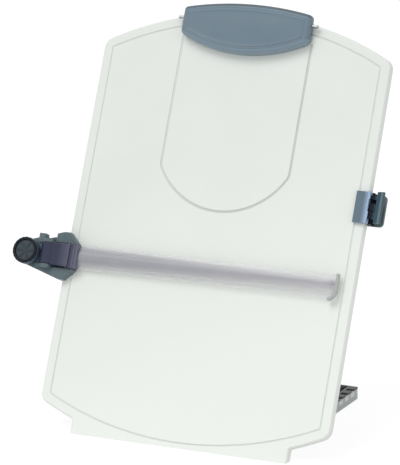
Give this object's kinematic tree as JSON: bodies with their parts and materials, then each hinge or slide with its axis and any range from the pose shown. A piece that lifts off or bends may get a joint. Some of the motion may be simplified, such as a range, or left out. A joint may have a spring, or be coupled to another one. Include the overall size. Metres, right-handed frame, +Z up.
{
  "type": "copy holder",
  "caption": "Desk copy holder: a reclined page board with a sliding, hinged line guide, spring clips and a fold-flat notched stand.",
  "frame": {"origin": "centre of the board's flat foot, on the desk", "axes": "+X to the reader's right, +Y away from the reader, +Z up; the board leans back towards +Y"},
  "size_m": [0.2947, 0.1775, 0.3183],
  "materials": {
    "board_plastic": "fine satin grain, ivory white",
    "clip_plastic": "satin, slate blue-grey",
    "carriage_plastic": "satin, grey-blue",
    "holder_plastic": "satin, dark blue-grey",
    "bar_plastic": "milky translucent, moulded gloss",
    "knob_plastic": "satin, near black",
    "dial_plastic": "satin, dark grey",
    "base_plastic": "satin, dark grey",
    "rail_plastic": "satin, mid grey",
    "leg_plastic": "satin, mid grey",
    "rubber": "matt",
    "felt": "short felt",
    "steel": "drawn wire and turned pins"
  },
  "bodies": {
    "board": {"board_panel": "board_plastic", "clip_bracket": "steel", "clip_pin": "steel", "clip_screws": "steel", "clip_spring": "steel", "prop_brackets": "steel", "prop_bracket_screws": "steel", "prop_hinge_pins": "steel"},
    "page_clip": {"clip_cover": "clip_plastic", "clip_jaw_pad": "rubber"},
    "carriage": {"carriage_front": "carriage_plastic", "carriage_rear": "carriage_plastic", "carriage_pad": "felt", "carriage_screws": "steel", "clamp_nut": "steel", "guide_pivot_pin": "steel", "knob_washer": "steel"},
    "guide": {"bar_holder": "holder_plastic", "guide_bar": "bar_plastic", "bar_end_cap": "holder_plastic"},
    "clamp_knob": {"knob": "knob_plastic", "knob_cap": "dial_plastic", "knob_stud": "steel"},
    "side_clip": {"side_clip_body": "carriage_plastic", "side_clip_pad": "felt", "side_clip_pin": "steel", "side_clip_spring": "steel"},
    "side_jaw": {"side_clip_jaw": "clip_plastic", "side_clip_grip": "rubber"},
    "base": {"base_plate": "base_plastic", "notch_rails": "rail_plastic", "base_mat": "rubber", "base_feet": "rubber", "base_hinge_rod": "steel"},
    "prop": {"prop_leg": "leg_plastic", "prop_foot_rod": "steel", "prop_foot_grips": "rubber"}
  },
  "joints": [
    {"name": "clip_lever", "type": "hinge", "parent": "board", "child": "page_clip", "pos_m": [0, 0.12746, 0.30509], "axis": [-1, 0, 0], "range_deg": [0, 15], "stiffness_Nm_per_rad": 0.35, "springref_deg": -20.05, "deforming": ["clip_spring"]},
    {"name": "guide_slide", "type": "slide", "parent": "board", "child": "carriage", "axis": [0, 0.4067, 0.9135], "range_m": [-0.088, 0.15]},
    {"name": "guide_swing", "type": "hinge", "parent": "carriage", "child": "guide", "pos_m": [-0.1328, 0.0447, 0.12684], "axis": [0, -0.4067, -0.9135], "range_deg": [0, 95]},
    {"name": "knob_turn", "type": "hinge", "parent": "carriage", "child": "clamp_knob", "pos_m": [-0.1497, 0.03858, 0.12956], "axis": [0, -0.9135, 0.4067], "range_deg": [0, 270]},
    {"name": "side_clip_slide", "type": "slide", "parent": "board", "child": "side_clip", "axis": [0, 0.4067, 0.9135], "range_m": [-0.15, 0.09]},
    {"name": "side_clip_lever", "type": "hinge", "parent": "side_clip", "child": "side_jaw", "pos_m": [0.1256, 0.07363, 0.18172], "axis": [0, 0.4067, 0.9135], "range_deg": [0, 22], "stiffness_Nm_per_rad": 0.05, "springref_deg": -22.92, "deforming": ["side_clip_spring"]},
    {"name": "base_fold", "type": "hinge", "parent": "board", "child": "base", "pos_m": [0, 0.01444, 0.0146], "axis": [1, 0, 0], "range_deg": [0, 66]},
    {"name": "leg_fold", "type": "hinge", "parent": "board", "child": "prop", "pos_m": [0, 0.07689, 0.15487], "axis": [1, 0, 0], "range_deg": [0, 132]}
  ],
  "couplings": [
    {"joint": "leg_fold", "follows": "base_fold", "ratio": 2}
  ]
}
